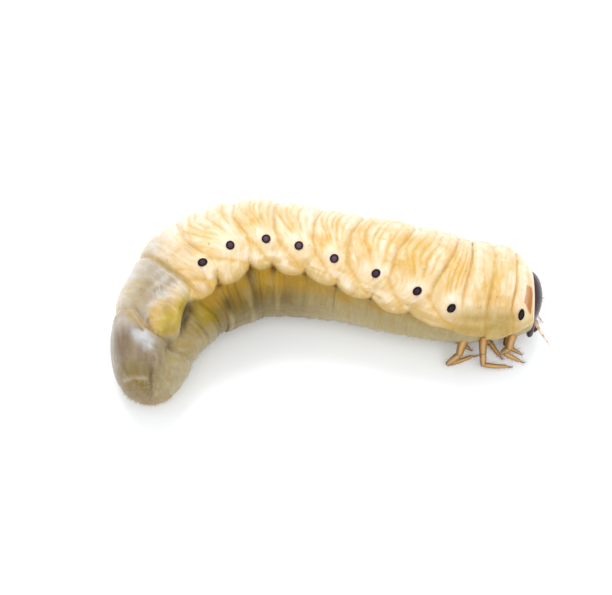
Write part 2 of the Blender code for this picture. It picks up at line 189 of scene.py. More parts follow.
def skin_marks(t, angle):
    """For places on the skin: its height over the plain section in mm, and masks of its features."""
    folded = np.minimum(angle, 360 - angle)
    index = np.clip(np.floor(t).astype(int), 0, TAIL_END - 1)
    share = t - index
    turn = angle / 360
    ahead, _ = skin_at(t + 0.02, angle)
    behind, _ = skin_at(t - 0.02, angle)
    ring_long = np.linalg.norm(ahead - behind, axis=-1) / 0.04
    girth = np.radians(1) * (at(t, SIDE) + at(t, BACK)) / 2  # mm for each degree
    ring_ends = np.cumsum(RING_LENGTHS)
    along = np.interp(t, range(TAIL_END + 1), ring_ends)
    wave = cloud(along / 1.9, turn, 24, 5) - 0.5
    wander = 0.07 * wave + 0.04 * (cloud(along / 0.7, turn, 52, 6) - 0.5)

    # The rings' edges and rolls, in a ring count that is straight where the creases bow. On the
    # flank the edges swing towards the head.
    bowing = ramp(2.4, 3.4, t) * ramp(10.9, 10.4, t)
    set_back = np.interp(
        t, (0.5, 1.15, 2.1, 3.22, 3.9, 10.6, 10.96, 11.4), (0, 0.14, 0.08, 0.1, 0, 0, -0.04, 0)
    ) * ramp(108, 86, folded)
    set_back += (0.12 * ramp(38, 76, folded) - 0.03) * bell(t, 12.05, 0.3)
    bowed = t - set_back - bowing * BOW * bell(folded, BOW_ANGLE, BOW_SPREAD) + 0.5 * wander
    bowed += 0.16 * bowing * bell(folded, 92, 12) * ramp(114, 104, folded)
    ring = np.clip(np.floor(bowed), 0, TAIL_END - 1).astype(int)
    within = bowed - ring
    closing = CLOSING_IN * ramp(46, 88, folded)
    spread = CLOSE_ON + (within - CLOSE_ON) / (1 - closing)
    crease = np.zeros_like(t)
    shade = np.zeros_like(t)

    def fold(off, depth, tinted, wide=0.11):
        """A crease at a distance in mm: a rounded dip with a sharp line in it, and its ochre."""
        nonlocal crease, shade
        dip = np.exp(-((off / CREASE_WIDE) ** 2))
        crease += depth * (0.5 * dip + 0.5 * np.exp(-off / CREASE_SHARP))
        line = 0.7 * np.exp(-((off / wide) ** 2)) + 0.3 * dip
        shade = np.maximum(shade, tinted * np.minimum(1, depth / 0.1) * line)

    inside = (t > 0.5) & (t < TAIL_END - 0.5)
    edge = 0.26 - 0.08 * ramp(50, 80, folded) - 0.15 * ramp(72, 92, folded) * (t > 2.5) * (t < 10.5)
    fold(np.minimum(within, 1 - within) * ring_long, edge * inside, 0.75)
    chances = np.random.default_rng(13).uniform(0.45, 1.25, (TAIL_END, len(ROLL_CREASES)))
    nudges = np.random.default_rng(14).normal(0, 0.025, (TAIL_END, len(ROLL_CREASES)))
    rolled = np.interp(ring, (1, 2, 3, 8, 9, 10), (0.25, 0.3, 1.0, 1.0, 0.8, 0.0)) * (ring > 0)
    for number, (start, depth, last_angle) in enumerate(ROLL_CREASES):
        off = np.abs(spread - start - nudges[ring, number] - wander) * (1 - closing) * ring_long
        ending = ramp(last_angle, last_angle - 16, folded)
        fold(off, depth * chances[ring, number] * rolled * ending, 0.4 + 0.55 * ramp(14, 52, folded))
    abdomen = (t > 3.0) & (t < 11.0)
    suture = np.interp(folded, (84, 90, 98, 105, 113), (0.97, 0.86, 0.6, 0.3, 0.02)) + 0.6 * wander
    suture_depth = 0.13 * abdomen * ramp(82, 90, folded) * ramp(114, 108, folded)
    fold(np.abs(share - suture) * ring_long * 0.7, suture_depth, 0.95, wide=0.17)
    off = np.abs(t - np.interp(folded, (112, 130, 156), (11.3, 11.38, 11.5))) * ring_long
    fold(off, 0.2 * ramp(104, 116, folded) * ramp(160, 150, folded), 0.9)
    fold(np.abs(within - 0.5 + wander) * ring_long, 0.05 * abdomen * ramp(124, 134, folded), 0.2)

    # Lobes on the flank, and the belly's step in under their lip.
    arch = np.sin(np.pi * np.clip(share, 0, 1))
    lip = np.where(t < FRONT_LOBE, np.interp(t, *LIP_FRONT), LOBE_ANGLE + 6 * arch**0.8)
    lip = np.where(t > REAR_LOBE, np.interp(t, *LIP_REAR), lip) + 1.2 * wave
    under = ramp(lip - 1.5, lip + 3.5, folded)
    past_neck = ramp(0.25, 0.9, t)
    swell = 0.8 + (0.25 + 0.75 * arch**0.6 - 0.8) * ramp(3.2, 4.2, t)
    lobe = 0.46 * bell(folded, lip - 9, 14) * swell
    belly_step = 0.62 * under * ramp(lip + 40, lip, folded) * past_neck * ramp(12.45, 12.0, t)
    rounding = np.sqrt(np.clip(1 - np.abs(2 * np.clip(within, 0, 1) - 1) ** 5, 0, None))
    sunk = 1 - 0.25 * bell(folded, 0, 30) - 0.88 * ramp(60, 84, folded)
    edge_sink = CREASES[index] * sunk * (1 - rounding)

    # Fine wrinkles, which leave the field round each spiracle and the flank's triangles smooth. The
    # thorax has fewer.
    field = np.zeros_like(t)
    for place, place_angle in SPIRACLE_PLACES:
        off = np.hypot((t - place) * ring_long * 0.9, (folded - place_angle) * girth)
        field = np.maximum(field, np.exp(-((off / (0.75 if place < 1 else 0.95)) ** 4)))
    triangle = bell(share, 0.47, 0.16) * bell(folded, 80, 13) * ((t > 3.1) & (t < 9.9))
    follow = ring_ends[ring] + spread * (1 - 0.6 * closing) * np.diff(ring_ends)[ring]
    drift = 0.8 * cloud(along / 3.1, turn, 18, 21)
    plain = 1 - 0.65 * ramp(4.9, 2.9, t)
    coarse = plain * ridges(follow / 0.8 + drift, turn, 34, 31) ** 3
    fine = plain * ridges(follow / 0.45 + 2 * drift, turn, 64, 33) ** 2.5
    strokes = ridges(follow / 0.75 + drift, turn, 32, 37) ** 3 * (0.4 + 0.6 * plain)
    strokes *= ramp(0.4, 0.62, cloud(follow / 1.2, turn, 30, 39))
    # A painted sheen: pale streaks between the creases of the back, where highlights lie.
    painted_sheen = ramp(0.35, 0.7, cloud(follow / 0.6 + drift, turn, 9, 59))
    painted_sheen *= ramp(0.2, 0.55, cloud(along / 1.6, turn, 24, 63))
    on_back = ramp(94, 80, folded)
    lengthways = ridges(along / 2.6, turn + 0.01 * wave, 84, 35) ** 2
    wrinkle = (0.035 * coarse + 0.02 * fine) * on_back + 0.09 * lengthways * (1 - on_back)
    wrinkle = wrinkle * (1 - 0.9 * field) * (1 - 0.6 * triangle)
    wrinkle = wrinkle * (1 - 0.5 * under) * np.interp(t, (10.0, 10.2), (1.0, 0.3))
    belly_folds = ridges(along / 0.9 + 0.4 * wave, turn, 8, 71) ** 2 * under * ramp(5.5, 8.0, t)

    # The last two rings: a puckered patch, a ridge down to a bulge, the dark pocket under that, and
    # the tail's gloss patch, which also carries a painted glint, its creases and slit.
    pucker = bell(t, 11.49, 0.17) * bell(folded, 66, 13)
    puckers = 0.14 * pucker * (ridges((t - 11.5) * 9 - (folded - 66) * 0.12, turn * 0, 2, 41) - 0.4)
    bulge_at = (10.95, 11.2, 11.45, 11.7, 11.9, 12.1)
    bulge_middle = np.interp(t, bulge_at, (91, 90, 89, 88, 84, 81)) + 2 * wave
    bulge_end = np.sqrt(np.clip(1 - (np.clip(t - 11.78, 0, None) / 0.32) ** 2, 0.0004, None))
    bulge_half = np.interp(t, bulge_at, (4, 9, 13, 19, 22, 21)) * bulge_end
    bulge_side = np.clip((folded - bulge_middle) / bulge_half, -1.5, 1.5)
    bulge = ramp(1.15, 0.3, np.abs(bulge_side)) * ramp(10.93, 11.1, t) * (t < 12.1)
    ridge = bell(folded, bulge_middle - bulge_half - 1, 4) * ramp(10.95, 11.12, t) * ramp(12.0, 11.8, t)
    pocket = bell(folded, 107 + 10 * ramp(11.4, 11.8, t) + 3 * wave, 8)
    pocket = pocket * ramp(11.1, 11.3, t) * ramp(12.0, 11.4, t)
    fold_off = np.abs((t - 12.73) * ring_long + 0.12 * (cloud(along / 0.9, turn, 30, 43) - 0.5))
    tail_fold = np.exp(-fold_off / 0.1) * ramp(8, 22, folded) * ramp(80, 70, folded)
    slit_off = np.abs(folded - np.interp(t, (12.55, 12.75, 12.86, 12.98), (80, 81, 84, 97)))
    slit = np.exp(-((slit_off * girth * 0.6 / 0.14) ** 2)) * ramp(12.52, 12.62, t)
    tail_lines = ridges(along / 0.2 + drift, turn, 26, 45) * ramp(12.42, 12.55, t) * ramp(115, 90, folded)
    gloss_and_glint = bell(t, 12.27, 0.13) * bell(folded, 68, 20)
    gloss_and_glint *= ramp(0.3, 0.65, cloud(along / 0.7, turn, 40, 47) + 0.15)
    slanted = ramp(0.42, 0.7, cloud(along / 5, (folded + 24 * (t - 11)) / 360, 66, 67))
    slanted = slanted * ramp(10.95, 11.1, t) * ramp(12.1, 11.9, t) * bell(folded, 72, 32)

    height = lobe - belly_step - 0.72 * edge_sink * past_neck - crease - wrinkle + puckers
    height = height + 0.55 * bulge**0.6 * ramp(10.95, 11.7, t) + 0.12 * ridge
    height = height + 0.42 * bell(t, 11.82, 0.36) * bell(folded, 18, 42) + 0.09 * field + 0.06 * triangle
    height = height - 0.35 * bell(t, 12.75, 0.35) * bell(folded, 140, 32) - 0.08 * belly_folds
    height = height - 0.3 * pocket - 0.08 * tail_fold - 0.2 * slit - 0.03 * tail_lines
    marks = dict(
        folded=folded, along=along, follow=follow, turn=turn, under=under, deeper=folded - lip,
        shade=shade, field=field, triangle=triangle, coarse=coarse, fine=fine, strokes=strokes,
        painted_sheen=painted_sheen, on_back=on_back, lengthways=lengthways, pucker=pucker, bulge=bulge,
        bulge_side=bulge_side, ridge=ridge, pocket=pocket, tail_fold=tail_fold, slit=slit,
        gloss_and_glint=gloss_and_glint, belly_folds=belly_folds, slanted=slanted, lobe=bell(folded, lip - 9, 10) * swell,
    )
    return height * ramp(0.0, 0.2, t), marks


def new_piece(name):
    """The piece that has just been made, under its name."""
    piece = bpy.context.object
    piece.name = piece.data.name = name
    return piece


def points_of(piece):
    """The places of a mesh's points, a row for each."""
    flat = np.empty(len(piece.data.vertices) * 3)
    piece.data.vertices.foreach_get("co", flat)
    return flat.reshape(-1, 3)


ALONG, AROUND = 512, 194
SEAM = 262  # degrees: the tube closes under the left flank
NECK_DISC, TAIL_CAP = 0.012, 0.9  # shares of the tube's length
STEPS, LEAST_STEP = 400, 0.003  # mm: measured steps along the tube, each at least so long
bpy.ops.object.select_all(action="DESELECT")
bpy.ops.mesh.primitive_grid_add(x_subdivisions=ALONG, y_subdivisions=AROUND, size=2, location=(0, 0, 0))
skin = new_piece("skin")
flat = points_of(skin)
length_share = (flat[:, 0] + 1) / 2
angles = np.mod((flat[:, 1] + 1) * 180 + SEAM, 360)
steps = np.linspace(0, TAIL_END - 1, STEPS)
lengths = np.linalg.norm(np.diff(skin_at(steps, np.full(STEPS, 70.0))[0], axis=0), axis=1)
whole_length = lengths.sum() + LEAST_STEP * (STEPS - 1)
evenly = np.concatenate(((0,), np.cumsum(lengths + LEAST_STEP))) / whole_length
body_share = np.clip((length_share - NECK_DISC) / (TAIL_CAP - NECK_DISC), 0, 1)
counts = np.interp(body_share, evenly, steps)
cap = np.clip((length_share - TAIL_CAP) / (1 - TAIL_CAP), 0, 1)
counts = np.where(length_share > TAIL_CAP, TAIL_END - 1 + np.sin(cap * np.pi / 2), counts)
heights, marks = skin_marks(counts, angles)
places, _ = skin_at(counts, angles, heights)
neck_middle = spine(np.zeros(1))[0][0] - MIDDLE
drawn_in = np.clip(length_share / NECK_DISC, 0, 1)[:, None]
places = pressed(neck_middle + (places - neck_middle) * drawn_in)
skin.data.vertices.foreach_set("co", (places * MM).ravel())


def painted(tint, *coats):
    """Lays coats over a colour, one after another: each a colour and its share at every point."""
    for coat, share in coats:
        tint = tint + (coat - tint) * np.clip(share, 0, 1)[..., None]
    return tint


# The skin's colours: cream fat shows through the front, dark gut through the last rings, and the
# belly is gold and olive. Ochre lies in the creases and specks of soil sit in the notches. Painted
# highlights lie along the top of the back, on the lobes and in wet streaks along the flank, and
# painted shade darkens the lower flank, the folds and the hollows under the lip and the knob.
CREAM, PALE, OCHRE, LOBE_YELLOW, LIP_OLIVE, SCLERITE, MILK = np.array((
    (0.69, 0.54, 0.305), (0.8, 0.67, 0.5), (0.61, 0.362, 0.05), (0.52, 0.36, 0.12),
    (0.37, 0.245, 0.045), (0.42, 0.14, 0.008), (0.83, 0.755, 0.63),
))
# The dark brown is painted shade: in folds, creases and the tail's slit, and under the lip and the knob.
GOLD, OLIVE, PAINTED_SHADE, FRONT_GOLD, GREY_GREEN, GREY_OLIVE, MOSS = np.array((
    (0.38, 0.215, 0.003), (0.155, 0.1, 0.006), (0.06, 0.036, 0.008), (0.37, 0.235, 0.045),
    (0.34, 0.27, 0.125), (0.18, 0.13, 0.03), (0.27, 0.19, 0.004),
))
LILAC, MILKY, GLINT, TAIL_BROWN, TAIL_OLIVE, TAIL_PALE = np.array((
    (0.4, 0.34, 0.25), (0.62, 0.59, 0.54), (0.6, 0.64, 0.66), (0.165, 0.11, 0.055),
    (0.19, 0.135, 0.025), (0.33, 0.27, 0.125),
))
POCKET_BROWN, NOTCH_BROWN, SOIL, KNOB_YELLOW = np.array((
    (0.1, 0.06, 0.012), (0.17, 0.075, 0.008), (0.08, 0.026, 0.005), (0.44, 0.32, 0.03),
))
folded, along, turn, under, deeper, shade, field, triangle = (
    marks[name] for name in ("folded", "along", "turn", "under", "deeper", "shade", "field", "triangle")
)
on_back, lengthways, fine, pucker, slanted, bulge_side = (
    marks[name] for name in ("on_back", "lengthways", "fine", "pucker", "slanted", "bulge_side")
)
mottle = cloud(along / 1.1, turn, 34, 51)
broad = cloud(along / 3.0, turn, 13, 53)
speckle = cloud(along / 0.4, turn, 90, 57)
# Painted highlights: milky wet patches on the upper lobes, broken up along the body.
wet_highlight = ramp(0.4, 0.75, cloud(along / 0.9, turn, 70, 75)) * (1 - 0.6 * ramp(10.9, 11.0, counts))
creased = 0.2 * marks["coarse"] + 0.2 * fine + 0.8 * marks["strokes"]
creased = creased * (1 - 0.8 * triangle) * (1 - 0.9 * field)
low_thorax = ramp(0.5, 1.2, counts) * ramp(3.5, 2.6, counts) * ramp(78, 100, folded)
# Painted highlight: the top of the back over the middle rings is painted milky white, and the ochre in
# its creases is painted fainter.
top_highlight = ramp(4.6, 7.5, counts) * ramp(84, 28, folded)

# The cream back and flank, with their creases and lobes, painted highlights along the top of the
# back, on the lobes and in wet streaks along the flank, and painted shade low on the flank.
tint = painted(
    CREAM,
    (OCHRE, 0.16 * on_back * ramp(0.35, 0.8, broad) * ramp(12, 40, folded)),
    (OCHRE, on_back * creased * (0.35 + 0.65 * ramp(12, 50, folded)) * ramp(-6, 8, folded)),
    # Painted sheen: pale streaks between the creases.
    (PALE, on_back * 0.9 * marks["painted_sheen"] * (1 - 0.7 * creased)),
    # Pale fields round the spiracles and on the flank's triangles, and a painted highlight along the top
    # of the back.
    (PALE, 0.55 * triangle + 0.6 * field + 0.4 * ramp(40, 5, folded)),
    (LOBE_YELLOW, 0.8 * ramp(-20, -8, deeper)),
    # Painted highlights: pale wet streaks along the row of spiracles, and milky ones on the upper lobes.
    (PALE, 0.75 * bell(folded, 102, 6) * ramp(0.25, 0.8, 1 - lengthways) * ramp(0.2, 0.6, mottle)),
    (MILK, 0.85 * wet_highlight * bell(deeper, -12, 6) * ramp(3.0, 4.0, counts)),
    # Painted shade: the lower flank is darkened towards yellow, where less of the light from behind
    # falls.
    (LOBE_YELLOW, 0.28 * bell(folded, 101, 11)),
    (LIP_OLIVE, 0.6 * ramp(-6, 0.5, deeper)),
    (LIP_OLIVE, low_thorax * (0.55 + 0.6 * mottle) * (1 - 0.6 * bell(folded, 104, 4) * lengthways)),
    # Painted highlight along the top of the back.
    (MILK, 0.75 * top_highlight),
    (OCHRE, 0.95 * shade * (0.75 + 0.25 * on_back) * ramp(0, 14, folded) * (1 - 0.5 * top_highlight)),
    (OCHRE, 0.5 * bell(counts, 10.6, 0.4) * bell(folded, 109, 5)),
)

# The belly, gold under the lip and olive or grey below it, with painted shade in its folds.
down = deeper + 8 * (broad - 0.5)
rearwards = ramp(5.4, 8.8, counts)
further = painted(GREY_GREEN, (OLIVE, rearwards), (GREY_OLIVE, rearwards * ramp(24, 46, down)))
belly = painted(
    FRONT_GOLD,
    (GOLD, rearwards),
    (further, ramp(7, 26, down + 9 * (1 - rearwards))),
    (GREY_GREEN, (0.2 - 0.15 * rearwards) * (lengthways + ramp(0.5, 0.9, speckle))),
    # Painted shade in the belly's folds.
    (PAINTED_SHADE, 0.42 * marks["belly_folds"] * (0.4 + mottle) * ramp(60, 26, down)),
    (GREY_GREEN, 0.5 * rearwards * ramp(0.45, 0.8, cloud(along / 0.8, turn, 9, 73)) * ramp(4, 20, down)),
)

# The last two rings, lilac grey above and brown and olive at the end, with a painted highlight
# milky white along their top.
grey_from = ramp(10.95, 10.98, counts - 0.2 * ramp(88, 98, folded))
grey = painted(
    LILAC,
    # Painted highlight along the top of the last rings.
    (MILKY, 0.75 * ramp(52, 20, folded) * ramp(12.1, 11.9, counts)),
    (TAIL_BROWN, ramp(11.97, 12.1, counts) * (0.55 + 0.6 * mottle)),
    (TAIL_OLIVE, 0.8 * ramp(12.5, 12.75, counts)),
    (TAIL_PALE, ramp(76, 112, folded) * (0.6 + 0.5 * mottle)),
    (LOBE_YELLOW, 0.35 * bell(counts, 11.8, 0.3) * ramp(70, 50, folded)),
    (LOBE_YELLOW, 0.55 * slanted * ramp(50, 84, folded)),
    (MILKY, 0.8 * pucker * fine + 0.16 * speckle + 0.5 * slanted * bell(folded, 62, 14)),
    (TAIL_PALE, 0.5 * bell(counts, 11.75, 0.3) * bell(folded, 55, 22) * mottle),
    (TAIL_BROWN, 0.6 * pucker * (1 - fine) * speckle
     + 0.3 * ramp(0.5, 0.9, mottle) * ramp(36, 56, folded) * ramp(100, 84, folded)),
)
tint = painted(
    tint,
    (belly, under * (1 - 0.35 * ramp(11.3, 11.7, counts))),
    (LILAC, 0.6 * ramp(10.1, 10.9, counts) * ramp(84, 50, folded) * (1 - grey_from) * (0.35 + broad)),
    (grey, grey_from * (1 - 0.55 * under * ramp(12.3, 11.8, counts))),
)

PATCHES = (
    # the ring count and angle of each mark, its half sizes there, its colour and strength; the dark
    # brown marks are painted shade, under the lip, in creases and under the knob
    (7.1, 126, 0.26, 9, GOLD, 0.85), (7.8, 128, 0.3, 12, GOLD, 0.8), (8.4, 131, 0.36, 14, GOLD, 0.6),
    (11.13, 124, 0.2, 15, MOSS, 1.0), (11.32, 128, 0.25, 22, MOSS, 0.4),
    (9.55, 109, 0.33, 6, LOBE_YELLOW, 0.6), (10.5, 109, 0.3, 6, LOBE_YELLOW, 0.5),
    (11.35, 66, 0.3, 20, LILAC, 0.45), (11.7, 60, 0.2, 14, LILAC, 0.45),
    (10.6, 138, 0.3, 24, FRONT_GOLD, 0.45), (5.7, 125, 0.36, 6, GOLD, 0.8),
    (4.8, 124, 0.3, 5, GOLD, 0.7), (10.6, 119, 0.4, 5, GOLD, 0.8), (6.4, 124, 0.3, 6, GOLD, 0.6),
    # Painted shade: dark brown under the lip's notches and in the belly's creases.
    (9.1, 125, 0.1, 9, PAINTED_SHADE, 0.75), (10.0, 137, 0.15, 9, PAINTED_SHADE, 0.8),
    (9.15, 150, 0.1, 13, PAINTED_SHADE, 0.4), (6.0, 134, 0.03, 15, PAINTED_SHADE, 0.5),
    (7.98, 119, 0.07, 5, PAINTED_SHADE, 0.6), (9.6, 135, 0.3, 10, OLIVE, 0.6),
    # Painted shadow under the knob, and a faint dark mark high on the flank.
    (12.08, 102, 0.07, 9, PAINTED_SHADE, 0.55), (8.55, 66, 0.06, 5, PAINTED_SHADE, 0.18),
    (10.28, 68, 0.12, 7, LILAC, 0.4), (12.45, 34, 0.1, 18, TAIL_BROWN, 0.8),
    (12.66, 55, 0.14, 26, TAIL_OLIVE, 0.6), (12.14, 34, 0.09, 22, MILKY, 0.5),
    # Painted shade along the last belly crease.
    (11.38, 140, 0.025, 26, PAINTED_SHADE, 0.5), (10.02, 112, 0.06, 3, SOIL, 0.7),
    (9.13, 118, 0.06, 3, SOIL, 0.6),
)
for place, middle, half_t, half_angle, mark_colour, strength in PATCHES:
    spot = bell(counts, place + 0.04 * (broad - 0.5), half_t)
    spot *= bell(folded, middle + 6 * (mottle - 0.5), half_angle)
    tint = painted(tint, (mark_colour, strength * spot * (under if middle > LOBE_ANGLE else 1.0)))

# The knob, painted light on top and shaded below, with a painted highlight along the ridge over it,
# and its pocket; the tail's fold, its painted glint and its slit painted in shade; the edges of
# the last rings, and the hard brown plate beside the head with the deep creases behind it.
knob = ramp(0.02, 0.45, marks["bulge"] + 0.2 * (mottle - 0.5))
# The knob is painted paler on top and deeper yellow and olive below, as painted light and shade on a
# bulge.
knob_lit_and_shaded = painted(LOBE_YELLOW, (KNOB_YELLOW, ramp(-0.7, 0.4, bulge_side + mottle - 0.5)))
knob_top_highlight = ramp(0.3, -0.9, bulge_side + 2.4 * (counts - 11.45))
tail_edge = 12.0 + 0.1 * ramp(30, 50, folded)
edges_olive = bell(counts, tail_edge + 0.012, 0.036) + bell(counts, 10.985, 0.036)
edges_yellow = bell(counts, 10.94, 0.045) + 0.3 * bell(counts, tail_edge - 0.03, 0.045)
deep = bell(counts, 1.15, 0.03) * ramp(48, 58, folded) * ramp(92, 82, folded)
deep += 0.9 * bell(counts, 2.05, 0.035) * ramp(66, 74, folded) * ramp(90, 84, folded)
plate_front = 0.27 + 0.0035 * np.abs(folded - 58)
plate_rear = 0.7 + 0.0035 * (folded - 60) * (folded < 76) - 0.015 * np.clip(folded - 76, 0, None)
plate = ramp(46, 51, folded) * ramp(94, 90, folded)
plate = plate * ramp(-0.03, 0.03, counts - plate_front) * ramp(-0.03, 0.03, plate_rear - counts)
plate_dark = 0.6 + 0.5 * ramp(0.66, 0.36, counts) + 0.5 * ramp(52, 84, folded) - 0.3 * mottle
tint = painted(
    tint,
    # Painted highlight along the ridge above the knob.
    (MILKY, 0.7 * marks["ridge"] * (0.5 + 0.5 * speckle)),
    (knob_lit_and_shaded, 0.95 * knob),
    (TAIL_OLIVE, 0.32 * knob * ramp(0.3, 1.0, cloud(along / 0.8, turn, 44, 79))),
    (PALE, 0.16 * knob * ramp(0.4, 1.0, cloud(along / 0.4, turn, 60, 81))),
    # Painted shade on the knob's lower side.
    (TAIL_OLIVE, 0.4 * marks["bulge"] * ramp(0.2, 1.0, bulge_side + 0.8 * (mottle - 0.5))),
    # Painted highlight on the knob's upper side.
    (MILKY, (0.1 + 0.6 * slanted) * knob * knob_top_highlight),
    (POCKET_BROWN, (0.6 + 0.5 * mottle) * ramp(0.1, 0.8, marks["pocket"])),
    (MILKY, 0.6 * marks["tail_fold"]),
    # Painted highlight: a pale glint on the tail's gloss patch.
    (GLINT, 0.7 * ramp(0.1, 0.9, marks["gloss_and_glint"]) * (0.5 + 0.6 * speckle)),
    # Painted shade in the tail's slit.
    (PAINTED_SHADE, 0.6 * marks["slit"] * (0.5 + 0.7 * mottle)),
    (LIP_OLIVE, 0.55 * edges_olive * ramp(100, 86, folded)),
    (LOBE_YELLOW, 0.75 * edges_yellow * ramp(104, 88, folded)),
    (SCLERITE, 0.55 * deep),
    (SCLERITE, plate * np.clip(plate_dark, 0, 1)),
    (PALE, 0.8 * ramp(0.28, 0.2, counts) * ramp(0.0, 0.08, counts)),
)

SPECKS, NOTCH_SPECKS = 190, 70  # all of them, and those in the notches between lobes
dice = np.random.default_rng(61)
for number in range(SPECKS):
    if number < NOTCH_SPECKS:
        place = (4 + number % 7 + dice.normal(0.0, 0.035), 115 + dice.normal(1.5, 2.2))
        size = dice.uniform(0.07, 0.17)
        mark_colour = NOTCH_BROWN
    else:
        place = (dice.uniform(0.8, 12.8), dice.uniform(5, 175))
        size = dice.uniform(0.03, 0.07)
        mark_colour = SOIL
    near = np.abs(counts - place[0]) < 0.12
    off = np.hypot((counts[near] - place[0]) * 3.4, (angles[near] - place[1]) * 0.085)
    tint[near] = painted(tint[near], (mark_colour, dice.uniform(0.3, 0.8) * np.exp(-((off / size) ** 2))))


def keep_values(mesh, name, values, kind="FLOAT_COLOR"):
    """Keeps a colour, vector or number for each point of a mesh, under a name for its material."""
    layer = mesh.attributes.new(name, kind, "POINT")
    if kind == "FLOAT_COLOR":
        values = np.column_stack((values, np.ones(len(values))))
    part = {"FLOAT": "value", "FLOAT_VECTOR": "vector", "FLOAT_COLOR": "color"}[kind]
    layer.data.foreach_set(part, np.ascontiguousarray(values, np.float32).ravel())


# The gloss is the roughness at each point. The straight places run along the tube in ring counts
# without its bends, so that the fine grain follows the creases.
gloss = 0.38 - 0.08 * marks["lobe"] - 0.08 * marks["gloss_and_glint"] - 0.06 * grey_from
gloss = gloss + 0.1 * (mottle - 0.5) - 0.1 * field
round_body = (5 * np.cos(turn * 2 * np.pi), 5 * np.sin(turn * 2 * np.pi))
keep_values(skin.data, "tint", np.clip(tint, 0, 1))
keep_values(skin.data, "gloss", gloss, "FLOAT")
keep_values(skin.data, "straight", np.column_stack((marks["follow"], *round_body)) * MM, "FLOAT_VECTOR")


def pick(*pieces):
    """Selects these pieces only, and works on the first."""
    bpy.ops.object.select_all(action="DESELECT")
    for piece in pieces:
        piece.select_set(True)
    bpy.context.view_layer.objects.active = pieces[0]


def close_mesh(piece, distance):
    """Merges a piece's doubled points, and turns its faces outwards."""
    pick(piece)
    bpy.ops.object.mode_set(mode="EDIT")
    bpy.ops.mesh.select_all(action="SELECT")
    bpy.ops.mesh.remove_doubles(threshold=distance)
    bpy.ops.mesh.normals_make_consistent(inside=False)
    bpy.ops.object.mode_set(mode="OBJECT")
    bpy.ops.object.shade_smooth()


def set_inputs(node, values):
    for name, value in values.items():
        node.inputs[name].default_value = value


def new_material(name, values):
    """A material and its shader, with some of the shader's inputs set."""
    made = bpy.data.materials.new(name)
    made.use_nodes = True
    shader = made.node_tree.nodes["Principled BSDF"]
    set_inputs(shader, values)
    return made, shader


def add_node(material, kind, values=None):
    made = material.node_tree.nodes.new(kind)
    set_inputs(made, values or {})
    return made


def reads(material, name):
    """A node that reads what a mesh keeps under a name."""
    made = add_node(material, "ShaderNodeAttribute")
    made.attribute_name = name
    return made


def join(start, output, end, entry):
    """Leads one node's output into another's input."""
    start.id_data.links.new(start.outputs[output], end.inputs[entry])


# Moist skin lets light in, and has a fine grain and tiny wrinkles across the body.
close_mesh(skin, 2e-6)
moist, shader = new_material("moist_skin", {
    "Subsurface Weight": 0.4, "Subsurface Radius": (1.0, 0.55, 0.25), "Subsurface Scale": 0.6 * MM,
    "Coat Weight": 0.25, "Coat Roughness": 0.16, "Specular IOR Level": 0.15,
})
straight = reads(moist, "straight")
stretched = add_node(moist, "ShaderNodeMapping", {"Scale": (1.0, 0.35, 0.35)})
grain = add_node(moist, "ShaderNodeTexNoise", {"Scale": 5200, "Detail": 4})
wrinkled = add_node(moist, "ShaderNodeTexVoronoi", {"Scale": 3600})
wrinkled.feature = "DISTANCE_TO_EDGE"
added = add_node(moist, "ShaderNodeMath", {1: 0.6})
added.operation = "MULTIPLY_ADD"
bump = add_node(moist, "ShaderNodeBump", {"Strength": 0.5, "Distance": 0.07 * MM})
join(straight, "Vector", grain, "Vector")
join(straight, "Vector", stretched, "Vector")
join(stretched, "Vector", wrinkled, "Vector")
join(wrinkled, "Distance", added, 0)
join(grain, "Fac", added, 2)
join(added, "Value", bump, "Height")
join(bump, "Normal", shader, "Normal")
painted_on, colour_output = reads(moist, "tint"), "Color"
for scale, clumps_from, clumps_to, strongest, shift in (
    # golden fat and milky flecks show through: noise in each metre, its range, and what it does
    (1500, 0.48, 0.68, 0.8, (0.98, 0.88, 0.68)),
    (3600, 0.5, 0.7, 0.7, (0.99, 0.9, 0.74)),
    (2300, 0.5, 0.7, 0.9, (1.1, 1.17, 1.42)),
):
    clumps = add_node(moist, "ShaderNodeTexNoise", {"Scale": scale, "Detail": 3, "Distortion": 0.6})
    strength = add_node(
        moist, "ShaderNodeMapRange", {"From Min": clumps_from, "From Max": clumps_to, "To Max": strongest}
    )
    flecked = add_node(moist, "ShaderNodeMix")
    flecked.data_type = "RGBA"
    flecked.blend_type = "MULTIPLY"
    flecked.inputs["B"].default_value = (*shift, 1)
    join(stretched, "Vector", clumps, "Vector")
    join(clumps, "Fac", strength, "Value")
    join(strength, "Result", flecked, "Factor")
    join(painted_on, colour_output, flecked, "A")
    painted_on, colour_output = flecked, "Result"
join(painted_on, colour_output, shader, "Base Color")
join(reads(moist, "gloss"), "Fac", shader, "Roughness")
skin.data.materials.append(moist)
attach(skin, "root")
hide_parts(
    "prothorax", "mesothorax", "metathorax", *(f"abdomen_{number}" for number in range(1, 10)), "tail"
)


